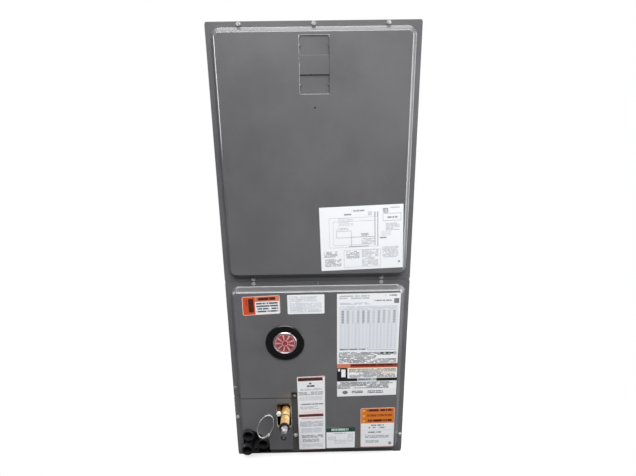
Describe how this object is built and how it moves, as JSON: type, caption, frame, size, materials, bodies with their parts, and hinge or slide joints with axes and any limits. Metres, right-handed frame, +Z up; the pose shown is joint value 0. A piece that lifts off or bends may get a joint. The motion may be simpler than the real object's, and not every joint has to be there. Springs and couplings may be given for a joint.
{
  "type": "air handler",
  "caption": "Upright indoor air handler: embossed sheet-metal cabinet with removable front panels, finned A-coil, drain pan, belly-band blower and control compartment.",
  "frame": {"origin": "centre of the return opening in the plane that the cabinet stands on, which is the centre of the base", "axes": "+Z up through the supply opening, -Y out of the front panels, +X to the right as seen from the front"},
  "size_m": [0.4492, 0.668, 1.0795],
  "materials": {
    "paint": "light-grey baked enamel with a fine orange-peel texture",
    "galvanised": "galvanised sheet with a faint spangle",
    "zinc": "zinc-plated",
    "foil": "glass-fibre board with a bright foil facing",
    "pan_plastic": "black moulded polymer",
    "rubber": "matt black",
    "copper": "drawn copper tube, slightly tarnished",
    "brass": "machined",
    "fins": "bare fin stock",
    "nylon": "natural nylon",
    "gasket": "cream edge strip",
    "badge_black": "gloss black",
    "badge_red": "dark red, bare of any mark",
    "motor": "dark enamel",
    "board": "circuit board green",
    "winding": "varnished laminations",
    "dark_plastic": "dark moulded plastic",
    "cap_white": "white moulded cap"
  },
  "bodies": {
    "cabinet": {"cabinet_wrap": "paint", "top_frame": "paint", "bottom_frame": "galvanised", "centre_rail": "galvanised", "side_liners": "foil", "back_liner": "foil", "blower_deck": "galvanised", "connection_plate": "paint", "plate_frame": "galvanised", "plate_screws": "zinc", "line_gasket": "gasket", "suction_line": "copper", "liquid_line": "copper", "liquid_cap": "cap_white", "suction_plug": "rubber", "access_valve": "zinc", "valve_cap": "dark_plastic", "tie_loop": "nylon", "drain_pan": "pan_plastic", "drain_ports": "pan_plastic", "pan_rails": "galvanised", "side_tray": "pan_plastic", "coil_slabs": "fins", "coil_end_plates": "galvanised", "return_bends": "copper", "coil_cap": "galvanised", "distributor": "brass", "scroll_wrap": "galvanised", "scroll_sides": "galvanised", "inlet_rings": "galvanised", "cutoff_plate": "galvanised", "blower_motor": "motor", "belly_band": "galvanised", "run_capacitor": "zinc", "capacitor_strap": "galvanised", "control_panel": "galvanised", "heater_cover": "paint", "control_board": "board", "transformer": "winding", "terminal_block": "dark_plastic", "ground_lug": "brass", "wire_grommet": "rubber", "frame_screws": "zinc"},
    "upper_door": {"upper_panel": "paint", "upper_panel_board": "foil", "upper_panel_screws": "zinc"},
    "lower_door": {"lower_panel": "paint", "lower_panel_board": "foil", "lower_panel_screws": "zinc", "badge_ring": "badge_black", "badge_disc": "badge_red"},
    "wheel": {"wheel_blades": "galvanised", "wheel_rings": "galvanised", "wheel_disc": "galvanised", "wheel_hub": "zinc", "motor_shaft": "zinc"}
  },
  "joints": [
    {"name": "upper_door_off", "type": "slide", "parent": "cabinet", "child": "upper_door", "axis": [0, -1, 0], "range_m": [0, 0.3]},
    {"name": "lower_door_off", "type": "slide", "parent": "cabinet", "child": "lower_door", "axis": [0, -1, 0], "range_m": [0, 0.3]},
    {"name": "wheel_spin", "type": "hinge", "parent": "cabinet", "child": "wheel", "pos_m": [0, -0.015, 0.714], "axis": [1, 0, 0], "continuous": true}
  ]
}
